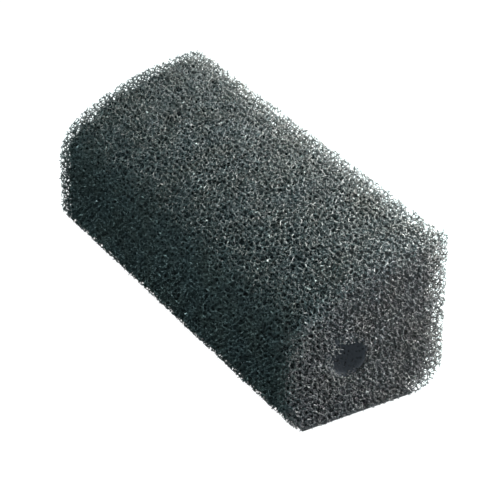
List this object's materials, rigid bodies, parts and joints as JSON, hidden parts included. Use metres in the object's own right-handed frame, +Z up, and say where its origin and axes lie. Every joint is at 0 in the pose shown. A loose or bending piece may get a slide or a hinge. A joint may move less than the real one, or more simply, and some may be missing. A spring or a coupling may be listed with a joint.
{
  "type": "sponge filter cartridge",
  "caption": "Long block of coarse open-cell filter foam, flat below and at both sides, with a top that curves down to one side and a round blind bore in one end that pushes over a pump's inlet pipe.",
  "frame": {"origin": "middle of the face the block rests on", "axes": "+Z up, +Y along the block away from the bore's mouth, +X to the right when the mouth is looked at"},
  "size_m": [0.075, 0.205, 0.072],
  "materials": {
    "filter_foam": "charcoal reticulated open-cell polyurethane foam, about 10 pores per inch, dull with small glints on the struts"
  },
  "bodies": {
    "root": {"foam_block": "filter_foam"}
  },
  "joints": []
}
